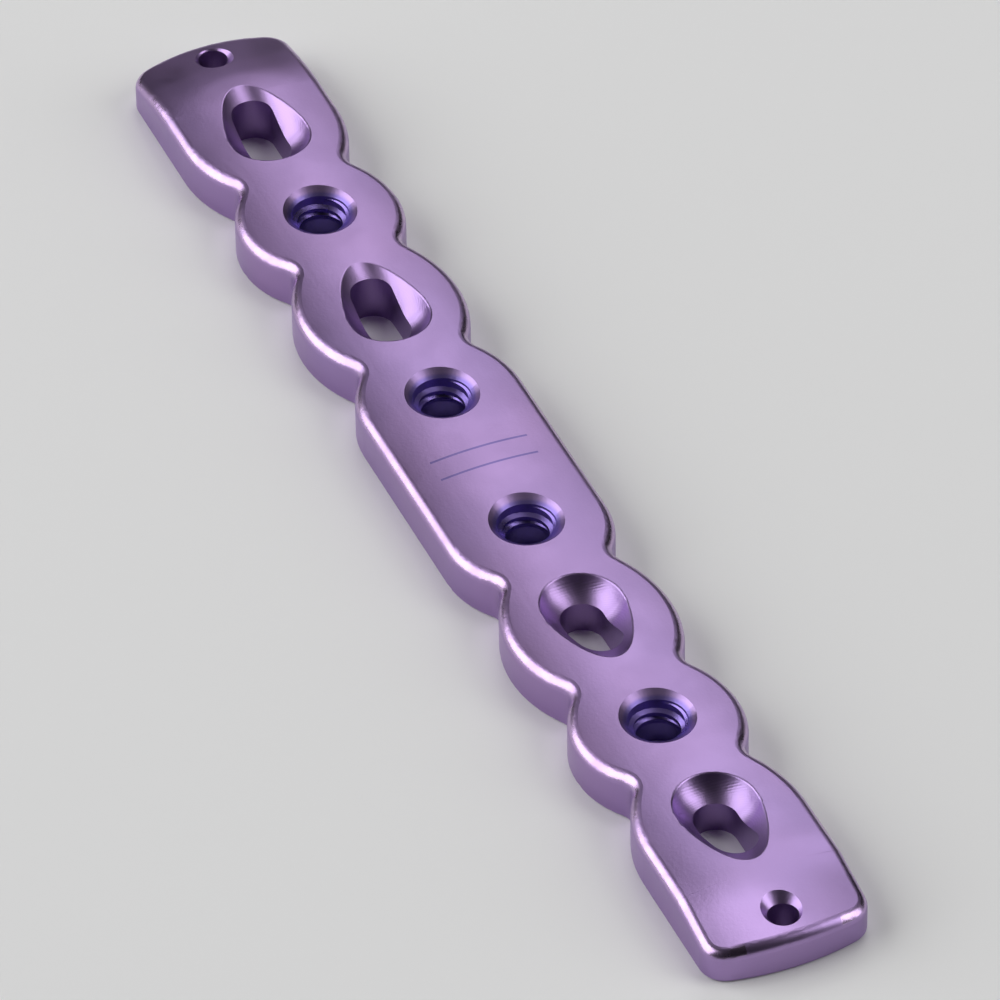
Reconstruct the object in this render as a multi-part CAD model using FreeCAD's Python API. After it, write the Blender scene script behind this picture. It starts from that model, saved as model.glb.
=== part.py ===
import FreeCAD, Part
import math
import os

# Straight reconstruction plate for small bones, one machined bar of titanium.
# The length lies along Y, the width along X, and the underside is on z = 0, so the plate lies as it
# rests, with its crowned face up. The origin is under the middle of the plate.
# From the middle outwards each half has a bare stretch, then locking and compression holes in turn,
# and last a hole for a wire in the ramped end. All lengths are in millimetres.

# Overall form
plate_width = 11.2
plate_thickness = 3.7
crown_radius = 28.0
end_bow_radius = 18.0
end_corner_radius = 1.8
ramp_length = 5.5
ramp_drop = 1.1
ramp_blend_radius = 20.0

# Spacing of the holes along the plate
pairs_per_half = 2
middle_gap = 13.6
hole_pitch = 10.2
wire_hole_offset = 8.5
wire_hole_to_end = 2.1

# Scalloped sides: a bulge round each hole and a rounded valley between neighbours
locking_bulge_radius = 6.6
compression_bulge_radius = 9.0
valley_radius = 1.2

# Locking hole: a countersink, a cone for the threaded head and a short straight bore
locking_bore = 3.1
locking_bore_length = 1.6
locking_mouth = 3.9
countersink_width = 0.65
countersink_depth = 0.45

# Compression hole: a slot for the shank under a seat that a round screw head slides down
shank_slot_width = 2.9
shank_slot_length = 5.8
head_radius = 3.0
seat_depth = 1.85
seat_travel = 0.45
seat_ramp_angle = 22.0
seat_rim_radius = 0.15

# Hole for a positioning wire
wire_bore = 2.0
wire_chamfer = 0.3

# Broken edges
top_edge_radius = 0.8
bottom_edge_radius = 0.3
bore_foot_chamfer = 0.15

# What follows from the sizes above
half_width = plate_width / 2
holes_per_half = 2 * pairs_per_half
first_hole_y = middle_gap / 2
last_hole_y = first_hole_y + (holes_per_half - 1) * hole_pitch
wire_hole_y = last_hole_y + wire_hole_offset
half_length = wire_hole_y + wire_hole_to_end
ramp_start_y = half_length - ramp_length
ramp_slope = ramp_drop / ramp_length

# How far a cutting shape reaches past the face that it cuts
over_cut = 1.0
# A face whose normal leans less than this from upright is a wall
wall_lean = 0.3
# The crease at the start of a ramp is a shallow curve, and its middle is within this of the start
crease_reach = 0.5

ORIGIN = FreeCAD.Vector(0, 0, 0)
ALONG_X = FreeCAD.Vector(1, 0, 0)
ALONG_Y = FreeCAD.Vector(0, 1, 0)
UP = FreeCAD.Vector(0, 0, 1)


def hole_places():
    """The screw holes of the far half, from the middle outwards, as (y, bulge radius, kind)."""
    places = []
    for number in range(holes_per_half):
        y = first_hole_y + number * hole_pitch
        if number % 2 == 0:
            places.append((y, locking_bulge_radius, "locking"))
        else:
            places.append((y, compression_bulge_radius, "compression"))
    return places


def point_at_reaches(first, first_reach, second, second_reach):
    """The point on the right of the line from first to second, at those distances from the two."""
    gap = second - first
    along = (first_reach**2 - second_reach**2 + gap.Length**2) / (2 * gap.Length)
    aside = math.sqrt(first_reach**2 - along**2)
    direction = FreeCAD.Vector(gap).normalize()
    right = FreeCAD.Vector(direction.y, -direction.x, 0)
    return first + direction * along + right * aside


def arc_edge(centre, radius, start, end):
    """The shorter arc of that circle from start to end."""
    towards = (start + end) * 0.5 - centre
    middle = centre + towards.normalize() * radius
    return Part.Arc(start, middle, end).toShape()


def scalloped_edges():
    """The right side of the far half, from the middle of the plate to its last bulge's crest.

    Each bulge is an arc that touches the plate's full width beside its hole. Where two bulges meet,
    the valley is an arc that touches both."""
    places = hole_places()
    crest = FreeCAD.Vector(half_width, first_hole_y, 0)
    edges = [Part.LineSegment(FreeCAD.Vector(half_width, 0, 0), crest).toShape()]
    for (y, radius, _), (next_y, next_radius, _) in zip(places, places[1:]):
        bulge = FreeCAD.Vector(half_width - radius, y, 0)
        next_bulge = FreeCAD.Vector(half_width - next_radius, next_y, 0)
        valley = point_at_reaches(
            bulge, radius + valley_radius, next_bulge, next_radius + valley_radius
        )
        valley_start = bulge + (valley - bulge).normalize() * radius
        valley_end = next_bulge + (valley - next_bulge).normalize() * next_radius
        next_crest = FreeCAD.Vector(half_width, next_y, 0)
        edges.append(arc_edge(bulge, radius, crest, valley_start))
        edges.append(arc_edge(valley, valley_radius, valley_start, valley_end))
        edges.append(arc_edge(next_bulge, next_radius, valley_end, next_crest))
        crest = next_crest
    return edges


def end_edges():
    """The straight side beside the last hole, the rounded corner and half of the bowed end."""
    bow_centre = FreeCAD.Vector(0, half_length - end_bow_radius, 0)
    corner_x = half_width - end_corner_radius
    corner_reach = end_bow_radius - end_corner_radius
    corner_y = bow_centre.y + math.sqrt(corner_reach**2 - corner_x**2)
    corner = FreeCAD.Vector(corner_x, corner_y, 0)
    corner_start = corner + ALONG_X * end_corner_radius
    corner_end = corner + (corner - bow_centre).normalize() * end_corner_radius
    crest = FreeCAD.Vector(half_width, last_hole_y, 0)
    tip = FreeCAD.Vector(0, half_length, 0)
    return [
        Part.LineSegment(crest, corner_start).toShape(),
        arc_edge(corner, end_corner_radius, corner_start, corner_end),
        arc_edge(bow_centre, end_bow_radius, corner_end, tip),
    ]


def outline_prism():
    """The plate's outline in plan, as an upright prism taller than the plate."""
    far_right = Part.Wire(scalloped_edges() + end_edges())
    far_left = far_right.mirror(ORIGIN, ALONG_X)
    near_right = far_right.mirror(ORIGIN, ALONG_Y)
    near_left = far_left.mirror(ORIGIN, ALONG_Y)
    edges = far_right.Edges + far_left.Edges + near_left.Edges + near_right.Edges
    outline = Part.Wire(Part.__sortEdges__(edges))
    return Part.Face(outline).extrude(UP * (plate_thickness + over_cut))


def crowned_section(y, foot_z):
    """The section across the plate at y, a little wider than the plate and down to foot_z."""
    reach = half_width + over_cut
    shoulder_z = plate_thickness - crown_radius + math.sqrt(crown_radius**2 - reach**2)
    left = FreeCAD.Vector(-reach, y, shoulder_z)
    top = FreeCAD.Vector(0, y, plate_thickness)
    right = FreeCAD.Vector(reach, y, shoulder_z)
    right_foot = FreeCAD.Vector(reach, y, foot_z)
    left_foot = FreeCAD.Vector(-reach, y, foot_z)
    edges = [
        Part.Arc(left, top, right).toShape(),
        Part.LineSegment(right, right_foot).toShape(),
        Part.LineSegment(right_foot, left_foot).toShape(),
        Part.LineSegment(left_foot, left).toShape(),
    ]
    return Part.Face(Part.Wire(edges))


def ramp_crease_edges(bar):
    """The two edges across the crown where the ramps start."""
    found = []
    for edge in bar.Edges:
        at_ramp_start = abs(abs(edge.CenterOfMass.y) - ramp_start_y) < crease_reach
        if at_ramp_start and edge.BoundBox.XLength > plate_width:
            found.append(edge)
    return found


def crowned_bar():
    """A bar with the crowned section, whose crown bends down to a straight ramp at both ends.

    A ramp is the same crown, tilted about the line where it starts."""
    end_y = half_length + over_cut
    bar = crowned_section(-end_y, -over_cut).extrude(ALONG_Y * (2 * end_y))
    far_ramp = crowned_section(-2 * end_y, -2 * end_y).extrude(ALONG_Y * (4 * end_y))
    pivot = FreeCAD.Vector(0, ramp_start_y, plate_thickness)
    far_ramp.rotate(pivot, ALONG_X, -math.degrees(math.atan(ramp_slope)))
    near_ramp = far_ramp.mirror(ORIGIN, ALONG_Y)
    bar = bar.common(far_ramp).common(near_ramp).removeSplitter()
    return bar.makeFillet(ramp_blend_radius, ramp_crease_edges(bar))


def is_wall(face):
    """True if the face stands upright."""
    u_low, u_high, v_low, v_high = face.ParameterRange
    normal = face.normalAt((u_low + u_high) / 2, (v_low + v_high) / 2)
    return abs(normal.z) < wall_lean


def outline_edges(solid, on_underside):
    """The edges all round the plate where its walls meet the underside, or the crowned face."""
    found = []
    for edge in solid.Edges:
        faces = solid.ancestorsOfType(edge, Part.Face)
        walls = [face for face in faces if is_wall(face)]
        touches_floor = any(face.BoundBox.ZMax < bottom_edge_radius / 2 for face in faces)
        if len(walls) == 1 and touches_floor == on_underside:
            found.append(edge)
    return found


def blank_plate():
    """The plate before its holes are cut, with its outer edges rounded."""
    plate = outline_prism().common(crowned_bar()).removeSplitter()
    plate = plate.makeFillet(top_edge_radius, outline_edges(plate, on_underside=False))
    return plate.makeFillet(bottom_edge_radius, outline_edges(plate, on_underside=True))


def turned(profile):
    """The solid swept by a closed profile of (radius, z) points round the Z axis."""
    points = [FreeCAD.Vector(radius, 0, z) for radius, z in profile]
    return Part.Face(Part.makePolygon(points + points[:1])).revolve(ORIGIN, UP, 360)


def locking_cutter():
    """The space of a locking hole: foot chamfer, straight bore, cone and countersink."""
    bore = locking_bore / 2
    mouth = locking_mouth / 2
    above = countersink_depth + over_cut
    above_radius = mouth + above * countersink_width / countersink_depth
    return turned([
        (0, -over_cut),
        (bore + bore_foot_chamfer + over_cut, -over_cut),
        (bore, bore_foot_chamfer),
        (bore, locking_bore_length),
        (mouth, plate_thickness - countersink_depth),
        (above_radius, plate_thickness + over_cut),
        (0, plate_thickness + over_cut),
    ])


def wire_cutter():
    """The space of a wire hole: foot chamfer, straight bore and lead-in chamfer in the ramp."""
    bore = wire_bore / 2
    ramp_z = plate_thickness - (wire_hole_y - ramp_start_y) * ramp_slope
    return turned([
        (0, -over_cut),
        (bore + bore_foot_chamfer + over_cut, -over_cut),
        (bore, bore_foot_chamfer),
        (bore, ramp_z - wire_chamfer),
        (bore + wire_chamfer + over_cut, ramp_z + over_cut),
        (0, ramp_z + over_cut),
    ])


def compression_cutter():
    """The space of a compression hole whose ramp rises towards +Y.

    The screw head's ball starts over the slot's inner end, slides level along the seat and then
    climbs the ramp, so the seat is the space that the ball sweeps."""
    slot_radius = shank_slot_width / 2
    slot_half = shank_slot_length / 2 - slot_radius
    slot_height = plate_thickness + 2 * over_cut
    slot_corner = FreeCAD.Vector(-slot_radius, -slot_half, -over_cut)
    slot_middle = Part.makeBox(shank_slot_width, 2 * slot_half, slot_height, slot_corner)
    slot_ends = [
        Part.makeCylinder(slot_radius, slot_height, FreeCAD.Vector(0, side * slot_half, -over_cut))
        for side in (-1, 1)
    ]
    slot = slot_middle.fuse(slot_ends).removeSplitter()
    ball = FreeCAD.Vector(0, -slot_half, plate_thickness + head_radius - seat_depth)
    turn = ball + ALONG_Y * seat_travel
    angle = math.radians(seat_ramp_angle)
    climb = FreeCAD.Vector(0, math.cos(angle), math.sin(angle))
    climb_length = (head_radius / math.tan(angle) + head_radius) / math.cos(angle)
    seat = Part.makeSphere(head_radius, ball).fuse([
        Part.makeCylinder(head_radius, seat_travel, ball, ALONG_Y),
        Part.makeSphere(head_radius, turn),
        Part.makeCylinder(head_radius, climb_length, turn, climb),
    ]).removeSplitter()
    return slot.fuse(seat).removeSplitter()


def hole_cutters():
    """The spaces of all holes, each one of the far half mirrored into the near half."""
    by_kind = {"locking": locking_cutter(), "compression": compression_cutter()}
    placed = [(y, by_kind[kind]) for y, _, kind in hole_places()]
    placed.append((wire_hole_y, wire_cutter()))
    cutters = []
    for y, cutter in placed:
        far = cutter.copy()
        far.translate(ALONG_Y * y)
        cutters.extend([far, far.mirror(ORIGIN, ALONG_Y)])
    return cutters


def seat_rim_edges(plate):
    """The edges where the seats of the compression holes break through the crown."""
    found = []
    for edge in plate.Edges:
        faces = plate.ancestorsOfType(edge, Part.Face)
        radii = [getattr(face.Surface, "Radius", 0) for face in faces]
        on_crown = any(abs(radius - crown_radius) < 1e-6 for radius in radii)
        on_seat = any(abs(radius - head_radius) < 1e-6 for radius in radii)
        if on_crown and on_seat:
            found.append(edge)
    return found


def bone_plate():
    """The whole plate."""
    plate = blank_plate()
    for cutter in hole_cutters():
        plate = plate.cut(cutter)
    return plate.makeFillet(seat_rim_radius, seat_rim_edges(plate))


def main():
    os.makedirs("parts", exist_ok=True)
    plate = bone_plate()
    plate.exportStep("parts/bone_plate.step")
    print("solids", len(plate.Solids), "valid", plate.isValid())
    print("length", 2 * half_length, "volume", round(plate.Volume, 2), "mm3")


main()
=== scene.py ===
# %% [markdown]
# # An anodised bone plate
# A reconstruction plate is screwed to a broken bone and holds its pieces together while it heals. This
# one is a single machined bar of titanium, crowned on top, with scalloped sides, so that a surgeon can
# bend it between the holes. Its violet comes from no paint: an electric bath grows a clear oxide on the
# metal, and the oxide's thickness picks the colour. The solid comes from the CAD model. This lesson adds
# the thread in its locking holes, the anodised finish, and a small studio to show it in.

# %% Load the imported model
import math

import bmesh
import bpy
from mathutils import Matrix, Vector


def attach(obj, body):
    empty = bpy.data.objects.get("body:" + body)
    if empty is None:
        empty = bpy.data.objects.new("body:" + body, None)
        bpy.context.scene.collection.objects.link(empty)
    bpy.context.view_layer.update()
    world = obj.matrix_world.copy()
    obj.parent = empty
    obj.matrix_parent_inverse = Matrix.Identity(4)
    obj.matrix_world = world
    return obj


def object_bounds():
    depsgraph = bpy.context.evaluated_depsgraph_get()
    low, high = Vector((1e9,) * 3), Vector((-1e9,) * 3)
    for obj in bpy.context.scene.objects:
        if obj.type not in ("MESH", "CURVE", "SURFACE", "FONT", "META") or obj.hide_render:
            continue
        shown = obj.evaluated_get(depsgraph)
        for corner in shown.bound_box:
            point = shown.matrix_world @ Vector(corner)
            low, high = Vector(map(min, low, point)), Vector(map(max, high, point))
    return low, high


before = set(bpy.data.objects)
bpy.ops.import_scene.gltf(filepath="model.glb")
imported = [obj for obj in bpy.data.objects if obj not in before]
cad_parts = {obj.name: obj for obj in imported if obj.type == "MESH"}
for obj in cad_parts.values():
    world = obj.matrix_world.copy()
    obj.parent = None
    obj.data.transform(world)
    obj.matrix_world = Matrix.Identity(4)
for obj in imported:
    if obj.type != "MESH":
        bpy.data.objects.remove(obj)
cad_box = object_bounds()
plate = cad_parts["bone_plate"]
print("plate", len(plate.data.polygons), "faces, from", cad_box[0], "to", cad_box[1])

# %% [markdown]
# ## Sizes that the scene shares with the CAD model
# Blender works in metres, and the plate is easier to think about in millimetres, so one factor turns
# them. The plate is the same in both halves, so a hole's place is given by its distance from the
# middle, and each value holds for the near half too.

# %% Sizes of the plate
mm = 0.001
locking_holes_y = [6.8 * mm, 27.2 * mm]
between_locking_holes_y = 17.0 * mm
between_compression_holes_y = 27.2 * mm
half_pitch_of_a_kind = 10.2 * mm
cone_bottom_z = 1.6 * mm
cone_top_z = 3.25 * mm
cone_bottom_radius = 1.55 * mm
cone_top_radius = 1.95 * mm

# %% [markdown]
# ## The thread of the locking holes
# A locking screw has a thread on its head as well as on its shank. The head's thread bites into one that
# is cut in the hole's cone, and screw and plate become one stiff piece. A bump texture could fake the
# rings, but light falls deep into the hole and the camera sees the ridges in profile. A ridge that is
# swept along a spiral on the cone gives the true form for few faces. Its foot lies a little inside the
# wall, so no gap shows, and it fades in and out at its ends, as a tap leaves it.

# %% Sweep one thread along the cone
thread_pitch = 0.55 * mm
thread_height = 0.26 * mm
thread_foot_width = 0.46 * mm
thread_crest_width = 0.09 * mm
thread_foot_depth = 0.05 * mm
steps_per_turn = 72
fade_turns = 0.35
least_height_share = 0.02


def cone_radius_at(z):
    """The radius of the locking hole's cone at height z."""
    share = (z - cone_bottom_z) / (cone_top_z - cone_bottom_z)
    return cone_bottom_radius + share * (cone_top_radius - cone_bottom_radius)


def thread_sections(hole_y):
    """The ridge's four-cornered section at each step along the spiral."""
    first_z = cone_bottom_z + thread_foot_width / 2
    last_z = cone_top_z - thread_foot_width / 2
    turns = (last_z - first_z) / thread_pitch
    steps = round(turns * steps_per_turn)
    sections = []
    for step in range(steps + 1):
        turn = turns * step / steps
        z = first_z + turn * thread_pitch
        fade = min(1.0, turn / fade_turns, (turns - turn) / fade_turns)
        height = thread_height * max(fade, least_height_share)
        corners = [
            (-thread_foot_depth, -thread_foot_width / 2),
            (height, -thread_crest_width / 2),
            (height, thread_crest_width / 2),
            (-thread_foot_depth, thread_foot_width / 2),
        ]
        angle = 2 * math.pi * turn
        section = []
        for inward, up in corners:
            radius = cone_radius_at(z + up) - inward
            section.append((radius * math.cos(angle), hole_y + radius * math.sin(angle), z + up))
        sections.append(section)
    return sections


def thread_mesh(name, hole_y):
    """A closed mesh of the ridge in the locking hole at hole_y."""
    shape = bmesh.new()
    rings = [[shape.verts.new(corner) for corner in section] for section in thread_sections(hole_y)]
    for ring, next_ring in zip(rings, rings[1:]):
        for i in range(4):
            j = (i + 1) % 4
            shape.faces.new((ring[i], ring[j], next_ring[j], next_ring[i]))
    shape.faces.new(rings[0])
    shape.faces.new(rings[-1])
    bmesh.ops.recalc_face_normals(shape, faces=shape.faces)
    mesh = bpy.data.meshes.new(name)
    shape.to_mesh(mesh)
    shape.free()
    return mesh


threads = []
hole_ys = sorted([-y for y in locking_holes_y] + locking_holes_y)
for number, hole_y in enumerate(hole_ys, start=1):
    name = "locking_thread_%d" % number
    thread = bpy.data.objects.new(name, thread_mesh(name, hole_y))
    bpy.context.scene.collection.objects.link(thread)
    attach(thread, "root")
    threads.append(thread)
    print(name, len(thread.data.polygons), "faces")

# %% [markdown]
# ## Helpers for the finish
# Grain, tool marks, patches of tint and the painted sheen on the rounded edges are each a node group with
# named inputs, so that the plate and its threads share them with their own values. Every group reads
# Object coordinates.
# The plate's object sits at the origin, so those are its real places in metres.

# %% Make a node group and wire nodes by name
def new_group(name, inputs, outputs):
    """An empty shader group with those sockets, given as (name, kind, default) and (name, kind)."""
    group = bpy.data.node_groups.new(name, "ShaderNodeTree")
    for socket_name, kind, default in inputs:
        socket = group.interface.new_socket(socket_name, in_out="INPUT", socket_type=kind)
        socket.default_value = default
    for socket_name, kind in outputs:
        group.interface.new_socket(socket_name, in_out="OUTPUT", socket_type=kind)
    entry = group.nodes.new("NodeGroupInput")
    result = group.nodes.new("NodeGroupOutput")
    print("group", name, "with", [socket_name for socket_name, kind, default in inputs])
    return group, entry.outputs, result.inputs


def feed(tree, socket, value):
    """Links value to the socket if it is an output, and sets it as the socket's value if not."""
    if isinstance(value, bpy.types.NodeSocket):
        tree.links.new(value, socket)
    else:
        socket.default_value = value


def put_group(tree, group, **values):
    """Places a group in the tree and sets its inputs; an underscore stands for a space."""
    node = tree.nodes.new("ShaderNodeGroup")
    node.node_tree = group
    for name, value in values.items():
        feed(tree, node.inputs[name.replace("_", " ")], value)
    return node.outputs


def math_node(tree, operation, *values, clamp=False):
    """The result of a Math node on those outputs and numbers."""
    node = tree.nodes.new("ShaderNodeMath")
    node.operation = operation
    node.use_clamp = clamp
    for socket, value in zip(node.inputs, values):
        feed(tree, socket, value)
    return node.outputs["Value"]


def smooth_step(tree, value, low, high, start=0.0, end=1.0):
    """The value led smoothly from start to end while it goes from low to high."""
    node = tree.nodes.new("ShaderNodeMapRange")
    node.interpolation_type = "SMOOTHSTEP"
    for socket_name, number in (
        ("Value", value), ("From Min", low), ("From Max", high), ("To Min", start), ("To Max", end),
    ):
        feed(tree, node.inputs[socket_name], number)
    return node.outputs["Result"]


def mix_colors(tree, share, first, second):
    """The colour between first and second at that share."""
    node = tree.nodes.new("ShaderNodeMix")
    node.data_type = "RGBA"
    feed(tree, node.inputs["Factor"], share)
    color_inputs = [socket for socket in node.inputs if socket.type == "RGBA"]
    feed(tree, color_inputs[0], first)
    feed(tree, color_inputs[1], second)
    return next(socket for socket in node.outputs if socket.type == "RGBA")


def noise(tree, coordinates, scale, detail):
    """The grey value of a noise texture."""
    node = tree.nodes.new("ShaderNodeTexNoise")
    feed(tree, node.inputs["Vector"], coordinates)
    feed(tree, node.inputs["Scale"], scale)
    feed(tree, node.inputs["Detail"], detail)
    return node.outputs["Fac"]


def place(tree):
    """The place on the piece in metres."""
    return tree.nodes.new("ShaderNodeTexCoord").outputs["Object"]


def axes(tree, vector):
    """The vector's X, Y and Z."""
    node = tree.nodes.new("ShaderNodeSeparateXYZ")
    feed(tree, node.inputs["Vector"], vector)
    return node.outputs


def upward_part(tree):
    """How far up the surface faces: 1 where it is level and 0 on an upright wall."""
    return axes(tree, tree.nodes.new("ShaderNodeNewGeometry").outputs["Normal"])["Z"]


# %% [markdown]
# ## Tint of the oxide
# The oxide is about a ten-thousandth of a millimetre thick, and a few percent more or less turns violet
# towards blue or towards rose. The bath never grows it quite evenly, so broad soft patches drift
# between the two tints. A noise texture with features as wide as the plate mixes them.

# %% Group: tint drift
mean_of_noise = 0.5
drift_strength = 0.8
tint_drift, entry, result = new_group(
    "tint drift",
    [
        ("Rose", "NodeSocketColor", (0.5, 0.3, 0.6, 1)),
        ("Blue", "NodeSocketColor", (0.3, 0.25, 0.6, 1)),
        ("Patches per Metre", "NodeSocketFloat", 90.0),
        ("Share of Blue", "NodeSocketFloat", 0.5),
    ],
    [("Color", "NodeSocketColor")],
)
broad = noise(tint_drift, place(tint_drift), entry["Patches per Metre"], detail=2.0)
centred = math_node(tint_drift, "SUBTRACT", broad, mean_of_noise)
share = math_node(tint_drift, "MULTIPLY_ADD", centred, drift_strength, entry["Share of Blue"], clamp=True)
feed(tint_drift, result["Color"], mix_colors(tint_drift, share, entry["Rose"], entry["Blue"]))

# %% [markdown]
# ## Blasted grain
# Before the bath the plate is blasted with fine beads, which leaves tiny shallow dents and the satin
# look. Fine noise gives the height for a bump. Broader noise lets the roughness wander a little, as
# hands and cleaning leave it.

# %% Group: blasted grain
handled_patches_per_metre = 260.0
handled_from = 0.35
handled_full = 0.65
blasted_grain, entry, result = new_group(
    "blasted grain",
    [
        ("Grains per Metre", "NodeSocketFloat", 5000.0),
        ("Smoothest", "NodeSocketFloat", 0.3),
        ("Roughest", "NodeSocketFloat", 0.45),
    ],
    [("Height", "NodeSocketFloat"), ("Roughness", "NodeSocketFloat")],
)
grains = noise(blasted_grain, place(blasted_grain), entry["Grains per Metre"], detail=3.0)
feed(blasted_grain, result["Height"], grains)
handled = noise(blasted_grain, place(blasted_grain), handled_patches_per_metre, detail=4.0)
smoothest = entry["Smoothest"]
roughest = entry["Roughest"]
wander = smooth_step(blasted_grain, handled, handled_from, handled_full, start=smoothest, end=roughest)
feed(blasted_grain, result["Roughness"], wander)

# %% [markdown]
# ## Painted sheen on the edges
# The rounded edges are painted paler in patches: a painted highlight along them, over the oxide's own
# slight change of tint at the edges. On a rounded edge the surface faces between up and sideways, so the
# upward part of its normal finds the edges without any extra geometry. The holes have such slopes as
# well, and the distance from the middle line leaves them out.

# %% Group: painted edge sheen
crown_faces_up = 0.97
edge_top_faces_up = 0.82
edge_foot_faces_up = 0.5
wall_faces_up = 0.25
sheen_patches_per_metre = 700.0
sheen_patch_from = 0.3
sheen_patch_full = 0.62
least_sheen = 0.45
painted_edge_sheen, entry, result = new_group(
    "painted edge sheen",
    [("From Middle Line", "NodeSocketFloat", 3.2 * mm)],
    [("Mask", "NodeSocketFloat")],
)
facing_up = upward_part(painted_edge_sheen)
slope_begins = smooth_step(painted_edge_sheen, facing_up, crown_faces_up, edge_top_faces_up)
slope_ends = smooth_step(painted_edge_sheen, facing_up, wall_faces_up, edge_foot_faces_up)
aside = math_node(painted_edge_sheen, "ABSOLUTE", axes(painted_edge_sheen, place(painted_edge_sheen))["X"])
outer = math_node(painted_edge_sheen, "GREATER_THAN", aside, entry["From Middle Line"])
sheen_patches = noise(painted_edge_sheen, place(painted_edge_sheen), sheen_patches_per_metre, detail=3.0)
patchy = smooth_step(painted_edge_sheen, sheen_patches, sheen_patch_from, sheen_patch_full, start=least_sheen)
mask = math_node(painted_edge_sheen, "MULTIPLY", slope_begins, slope_ends)
mask = math_node(painted_edge_sheen, "MULTIPLY", mask, outer)
feed(painted_edge_sheen, result["Mask"], math_node(painted_edge_sheen, "MULTIPLY", mask, patchy))

# %% [markdown]
# ## Finding the holes
# Both kinds of hole come at equal steps, so folding the length finds them all at once. The distance
# from the middle is folded about the place between two holes of a kind, and what is left over, together
# with the distance from the middle line, is the distance from the nearest hole's axis.

# %% Group: distance from the nearest hole
hole_distance, entry, result = new_group(
    "hole distance",
    [("Fold at", "NodeSocketFloat", between_locking_holes_y)],
    [("Distance", "NodeSocketFloat")],
)
here = axes(hole_distance, place(hole_distance))
from_middle = math_node(hole_distance, "ABSOLUTE", here["Y"])
folded = math_node(hole_distance, "SUBTRACT", from_middle, entry["Fold at"])
folded = math_node(hole_distance, "ABSOLUTE", folded)
along = math_node(hole_distance, "SUBTRACT", folded, half_pitch_of_a_kind)
along_squared = math_node(hole_distance, "MULTIPLY", along, along)
squared = math_node(hole_distance, "MULTIPLY_ADD", here["X"], here["X"], along_squared)
feed(hole_distance, result["Distance"], math_node(hole_distance, "SQRT", squared))

# %% [markdown]
# ## Tool marks
# A ball-ended mill leaves fine rings in the seats of the compression holes, and the mill that follows
# the scalloped outline leaves upright streaks on the walls. Both are shallow, and the beads have
# softened them, so they only feed the bump.

# %% Group: tool marks
last_ring_radius = 4.4 * mm
full_ring_radius = 4.1 * mm
last_ring_z = 3.4 * mm
full_ring_z = 3.3 * mm
ring_height_share = 0.25
slant_faces_up = 0.35
upright_faces_up = 0.1
tool_marks, entry, result = new_group(
    "tool marks",
    [("Ring Spacing", "NodeSocketFloat", 0.12 * mm), ("Streaks per Metre", "NodeSocketFloat", 2600.0)],
    [("Height", "NodeSocketFloat")],
)
from_hole = put_group(tool_marks, hole_distance, Fold_at=between_compression_holes_y)["Distance"]
waves = math_node(tool_marks, "DIVIDE", from_hole, entry["Ring Spacing"])
waves = math_node(tool_marks, "SINE", math_node(tool_marks, "MULTIPLY", waves, 2 * math.pi))
here = axes(tool_marks, place(tool_marks))
near_hole = smooth_step(tool_marks, from_hole, last_ring_radius, full_ring_radius)
below_crown = smooth_step(tool_marks, here["Z"], last_ring_z, full_ring_z)
in_seat = math_node(tool_marks, "MULTIPLY", near_hole, below_crown)
rings = math_node(tool_marks, "MULTIPLY", waves, in_seat)
flat_place = tool_marks.nodes.new("ShaderNodeCombineXYZ")
feed(tool_marks, flat_place.inputs["X"], here["X"])
feed(tool_marks, flat_place.inputs["Y"], here["Y"])
streaks = noise(tool_marks, flat_place.outputs["Vector"], entry["Streaks per Metre"], detail=2.0)
facing_up = upward_part(tool_marks)
off_upright = math_node(tool_marks, "ABSOLUTE", facing_up)
upright = smooth_step(tool_marks, off_upright, slant_faces_up, upright_faces_up)
streaks = math_node(tool_marks, "MULTIPLY", streaks, upright)
height = math_node(tool_marks, "MULTIPLY_ADD", rings, ring_height_share, streaks)
feed(tool_marks, result["Height"], height)

# %% [markdown]
# ## Soft crease
# The crown runs into the ramp at each end through a wide blend, so that no crease catches on the skin.
# The solid has that blend at the far end only. At the near end a height that sinks towards the crease
# along a flat arc turns the shading the same way. The arc is a tenth of a millimetre deep, too little to
# show in the outline, so a bump is enough here. It fades out where the surface turns down at the edges.

# %% Group: soft crease
ramp_start_y = 42.5 * mm
ramp_drop = 1.1 * mm
ramp_length = 5.5 * mm
ramp_slope = ramp_drop / ramp_length
blend_radius = 20.0 * mm
blend_reach = blend_radius * math.tan(math.atan(ramp_slope) / 2)
blend_fades_out_at = 0.5
blend_is_full_at = 0.9
soft_crease, entry, result = new_group(
    "soft crease",
    [
        ("Crease Y", "NodeSocketFloat", -ramp_start_y),
        ("Blend Radius", "NodeSocketFloat", blend_radius),
        ("Blend Reach", "NodeSocketFloat", blend_reach),
    ],
    [("Height", "NodeSocketFloat")],
)
here = axes(soft_crease, place(soft_crease))
from_crease = math_node(soft_crease, "SUBTRACT", here["Y"], entry["Crease Y"])
from_crease = math_node(soft_crease, "ABSOLUTE", from_crease)
within = math_node(soft_crease, "SUBTRACT", entry["Blend Reach"], from_crease)
within = math_node(soft_crease, "MAXIMUM", within, 0.0)
within_squared = math_node(soft_crease, "MULTIPLY", within, within)
downwards_diameter = math_node(soft_crease, "MULTIPLY", entry["Blend Radius"], -2.0)
depth = math_node(soft_crease, "DIVIDE", within_squared, downwards_diameter)
facing_up = upward_part(soft_crease)
on_crown = smooth_step(soft_crease, facing_up, blend_fades_out_at, blend_is_full_at)
feed(soft_crease, result["Height"], math_node(soft_crease, "MULTIPLY", depth, on_crown))

# %% [markdown]
# ## Centre lines
# Two fine lines run across the plate, one on each side of its middle, so that it can be lined up with
# the fracture. A laser burns them in. It grows the oxide on, so a line is deep blue and not a groove, and
# only the colour changes.

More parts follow.
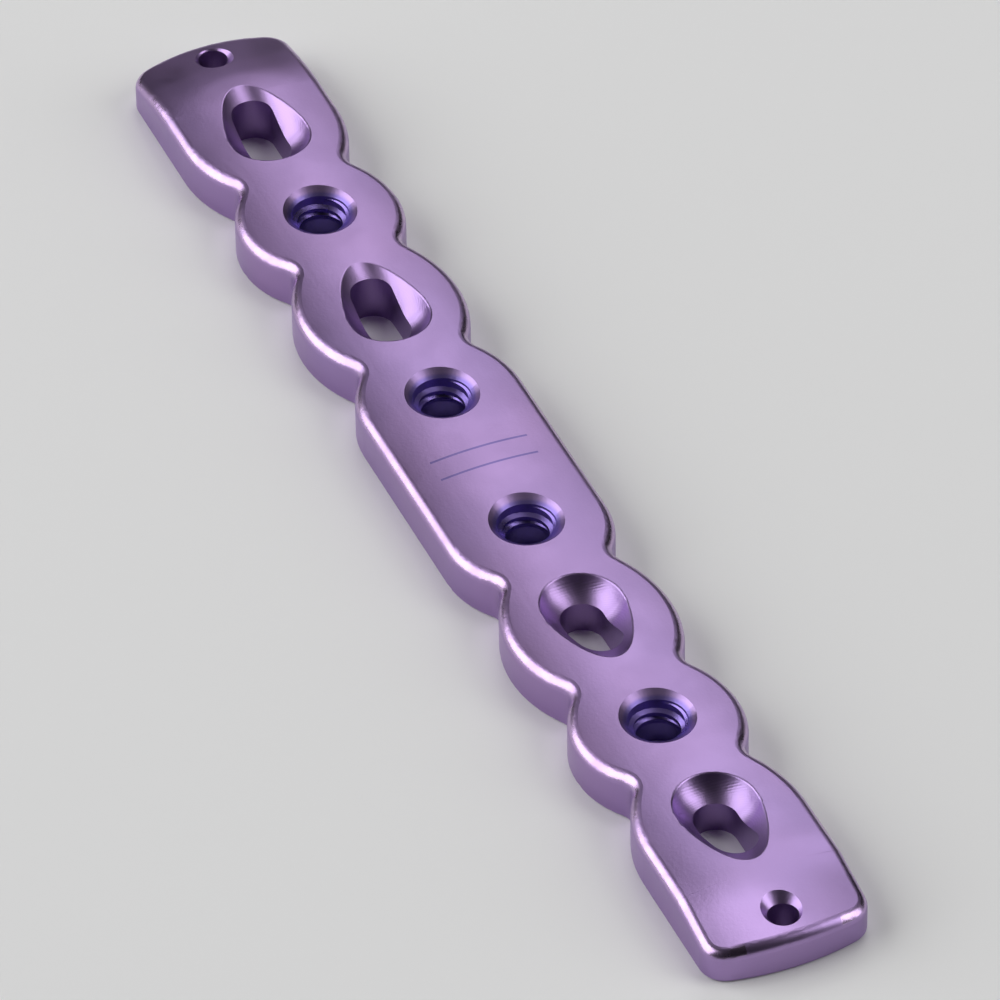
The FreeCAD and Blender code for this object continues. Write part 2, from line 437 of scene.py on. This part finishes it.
# %% Group: centre lines
line_half_length = 3.4 * mm
line_lowest_z = 3.0 * mm
full_color_share = 0.6
centre_lines, entry, result = new_group(
    "centre lines",
    [("Half Gap", "NodeSocketFloat", 0.9 * mm), ("Line Width", "NodeSocketFloat", 0.22 * mm)],
    [("Mask", "NodeSocketFloat")],
)
here = axes(centre_lines, place(centre_lines))
from_middle = math_node(centre_lines, "ABSOLUTE", here["Y"])
off_line = math_node(centre_lines, "SUBTRACT", from_middle, entry["Half Gap"])
off_line = math_node(centre_lines, "ABSOLUTE", off_line)
half_line = math_node(centre_lines, "MULTIPLY", entry["Line Width"], 0.5)
full_color_width = math_node(centre_lines, "MULTIPLY", half_line, full_color_share)
on_line = smooth_step(centre_lines, off_line, half_line, full_color_width)
aside = math_node(centre_lines, "ABSOLUTE", here["X"])
short_of_end = math_node(centre_lines, "LESS_THAN", aside, line_half_length)
on_line = math_node(centre_lines, "MULTIPLY", on_line, short_of_end)
on_top = math_node(centre_lines, "GREATER_THAN", here["Z"], line_lowest_z)
feed(centre_lines, result["Mask"], math_node(centre_lines, "MULTIPLY", on_line, on_top))

# %% [markdown]
# ## The anodised finish
# The surface is bare metal under a clear film, so it is fully metallic, and its colour tints what it
# reflects. The groups above lay patches of tint, a painted highlight on the rounded edges and a painted
# shade of darker, bluer indigo in the locking holes over each other. One bump takes the grain, the tool
# marks and the soft crease. The crease's height is in metres and the others' are shares of the bump's, so
# it is divided by the bump's height first.

# %% Materials of the plate and of its threads
rose_violet = (0.43, 0.272, 0.52, 1)
blue_violet = (0.355, 0.258, 0.535, 1)
# painted highlight: the paler violet laid on the rounded edges
edge_sheen_violet = (0.62, 0.45, 0.68, 1)
# painted shade: the darker, bluer indigo laid inside the locking holes
hole_shade_indigo = (0.2, 0.15, 0.47, 1)
line_indigo = (0.13, 0.11, 0.33, 1)
# painted shade: the threads' darker violet stands for the shade in the locking holes
thread_shade_violet = (0.27, 0.19, 0.5, 1)
edge_sheen_share = 0.6
locking_hole_shade_share = 0.85
line_share = 0.75
edge_roughness_drop = 0.1
hole_shade_ends = 2.3 * mm
hole_shade_full = 2.05 * mm
bump_height = 0.006 * mm


def metal(name):
    """A new fully metallic material, its Principled shader's inputs and its tree."""
    material = bpy.data.materials.new(name)
    material.use_nodes = True
    shader = material.node_tree.nodes["Principled BSDF"]
    shader.inputs["Metallic"].default_value = 1.0
    return material, shader.inputs, material.node_tree


def add_bump(tree, sockets, height, distance):
    """Feeds the height to the shader's normal through a bump."""
    bump = tree.nodes.new("ShaderNodeBump")
    bump.inputs["Strength"].default_value = 1.0
    bump.inputs["Distance"].default_value = distance
    feed(tree, bump.inputs["Height"], height)
    feed(tree, sockets["Normal"], bump.outputs["Normal"])


anodised, sockets, tree = metal("anodised_plate")
tint = put_group(tree, tint_drift, Rose=rose_violet, Blue=blue_violet)["Color"]
edge_sheen_mask = put_group(tree, painted_edge_sheen)["Mask"]
# painted highlight: the rounded edges turn paler in patches
tint = mix_colors(tree, math_node(tree, "MULTIPLY", edge_sheen_mask, edge_sheen_share), tint, edge_sheen_violet)
from_locking_hole = put_group(tree, hole_distance, Fold_at=between_locking_holes_y)["Distance"]
# painted shade: the locking holes turn a darker, bluer indigo
inside = smooth_step(tree, from_locking_hole, hole_shade_ends, hole_shade_full)
tint = mix_colors(tree, math_node(tree, "MULTIPLY", inside, locking_hole_shade_share), tint, hole_shade_indigo)
marked = put_group(tree, centre_lines)["Mask"]
tint = mix_colors(tree, math_node(tree, "MULTIPLY", marked, line_share), tint, line_indigo)
grain = put_group(tree, blasted_grain, Smoothest=0.33, Roughest=0.38)
marks = put_group(tree, tool_marks)["Height"]
feed(tree, sockets["Base Color"], tint)
feed(tree, sockets["Roughness"], math_node(tree, "MULTIPLY_ADD", edge_sheen_mask, -edge_roughness_drop, grain["Roughness"]))
relief = math_node(tree, "ADD", grain["Height"], marks)
crease = put_group(tree, soft_crease)["Height"]
add_bump(tree, sockets, math_node(tree, "MULTIPLY_ADD", crease, 1 / bump_height, relief), bump_height)

threaded, sockets, tree = metal("anodised_thread")
# painted shade: the threads drift between two dark colours, the shade in the holes
tint = put_group(tree, tint_drift, Rose=thread_shade_violet, Blue=hole_shade_indigo)["Color"]
grain = put_group(tree, blasted_grain, Smoothest=0.26, Roughest=0.36)
feed(tree, sockets["Base Color"], tint)
feed(tree, sockets["Roughness"], grain["Roughness"])
add_bump(tree, sockets, grain["Height"], bump_height)

plate.data.materials.clear()
plate.data.materials.append(anodised)
for thread in threads:
    thread.data.materials.append(threaded)
print("materials", [material.name for material in bpy.data.materials])

# %% [markdown]
# ## Floor
# A wide pale sheet lies under the plate, so that every view has a quiet ground and the plate drops a
# soft shadow. A faint mottle in its roughness keeps it from looking like an empty picture.

# %% Floor
floor_half_width = 3.0
paper_color = (0.82, 0.82, 0.82, 1)
mottles_per_metre = 300.0
mottle_from = 0.3
mottle_full = 0.7
paper_smoothest = 0.75
paper_roughest = 0.95


def floor_mesh():
    """A square sheet at the height of the plate's underside."""
    mesh = bpy.data.meshes.new("floor")
    reach = floor_half_width
    corners = [(-reach, -reach, 0), (reach, -reach, 0), (reach, reach, 0), (-reach, reach, 0)]
    mesh.from_pydata(corners, [], [(0, 1, 2, 3)])
    return mesh


floor = bpy.data.objects.new("floor", floor_mesh())
bpy.context.scene.collection.objects.link(floor)
paper = bpy.data.materials.new("pale_paper")
paper.use_nodes = True
shader = paper.node_tree.nodes["Principled BSDF"]
shader.inputs["Base Color"].default_value = paper_color
shader.inputs["Specular IOR Level"].default_value = 0.2
tree = paper.node_tree
mottle = noise(tree, place(tree), mottles_per_metre, detail=3.0)
wander = smooth_step(tree, mottle, mottle_from, mottle_full, start=paper_smoothest, end=paper_roughest)
feed(tree, shader.inputs["Roughness"], wander)
floor.data.materials.append(paper)
print("floor", 2 * floor_half_width, "m wide")

# %% [markdown]
# ## Light
# Satin metal shows its surroundings, so the lamps are wide panels that it can mirror softly. Each stands
# on a dome round the plate and faces it. The one at the back gives the top its even violet, and the one
# above it lifts the near ramp. One on each side draws the pale crescents in the seats and the bright
# line along the left edge. Nothing stands at the front, so the walls that face the camera stay deep. A
# panel's brightness is set as it looks, where 1 is white, and its power follows from its area. Added
# up, they light the floor about as a white sky would, so colours render about as they are written. The
# camera sees only what the lamps light and never the lamps, so the plate can be looked at from any side.

# %% Lamps and sky
dome_radius = 1.2
sky_at_horizon = 0.05
sky_overhead = 0.2


def panel(name, turned, raised, width, height, brightness):
    """A rectangular lamp on the dome, turned from +X towards +Y and raised, both in degrees."""
    data = bpy.data.lights.new(name, "AREA")
    data.shape = "RECTANGLE"
    data.size = width
    data.size_y = height
    data.energy = brightness * math.pi * width * height
    lamp = bpy.data.objects.new(name, data)
    turned = math.radians(turned)
    raised = math.radians(raised)
    outwards = Vector((
        math.cos(raised) * math.cos(turned),
        math.cos(raised) * math.sin(turned),
        math.sin(raised),
    ))
    lamp.location = outwards * dome_radius
    lamp.rotation_euler = (-outwards).to_track_quat("-Z", "Y").to_euler()
    lamp.visible_camera = False
    bpy.context.scene.collection.objects.link(lamp)
    print(name, round(data.energy, 1), "watts")


panel("left_panel", turned=157, raised=30, width=1.6, height=1.2, brightness=2.6)
panel("right_panel", turned=-31, raised=30, width=0.65, height=1.2, brightness=2.6)
panel("back_panel", turned=56, raised=43, width=0.7, height=0.5, brightness=1.8)
panel("high_panel", turned=41, raised=72, width=0.6, height=0.4, brightness=2.8)

world = bpy.data.worlds.new("studio")
bpy.context.scene.world = world
world.use_nodes = True
tree = world.node_tree
up_in_sky = axes(tree, tree.nodes.new("ShaderNodeTexCoord").outputs["Generated"])["Z"]
strength = smooth_step(tree, up_in_sky, 0.0, 1.0, start=sky_at_horizon, end=sky_overhead)
feed(tree, tree.nodes["Background"].inputs["Strength"], strength)

# %% [markdown]
# ## Camera
# The photograph looks down on the plate from 41 degrees above the tray and from 23 degrees to one side,
# at arm's length. A long lens from the same place fills the picture with the plate and keeps that
# perspective. A roll of one degree matches the lean of the photograph.

# %% Camera
azimuth = math.radians(-22.9)
elevation = math.radians(41.2)
camera_distance = 0.655
roll = math.radians(-1.0)
picture_pixels = 1000
focal_pixels = 10200
sensor_width = 36.0
aim_y = -2.5 * mm

camera_data = bpy.data.cameras.new("camera")
camera_data.sensor_width = sensor_width
camera_data.lens = focal_pixels / picture_pixels * sensor_width
camera = bpy.data.objects.new("camera", camera_data)
back = Vector((
    math.sin(azimuth) * math.cos(elevation),
    -math.cos(azimuth) * math.cos(elevation),
    math.sin(elevation),
))
looked_at = Vector((0, aim_y, cad_box[1].z / 2))
camera.location = looked_at + back * camera_distance
camera.rotation_euler = (-back).to_track_quat("-Z", "Y").to_euler()
camera.rotation_euler.rotate_axis("Z", roll)
bpy.context.scene.collection.objects.link(camera)
bpy.context.scene.camera = camera
bpy.context.scene.view_settings.view_transform = "Standard"
print("lens", round(camera_data.lens), "mm")
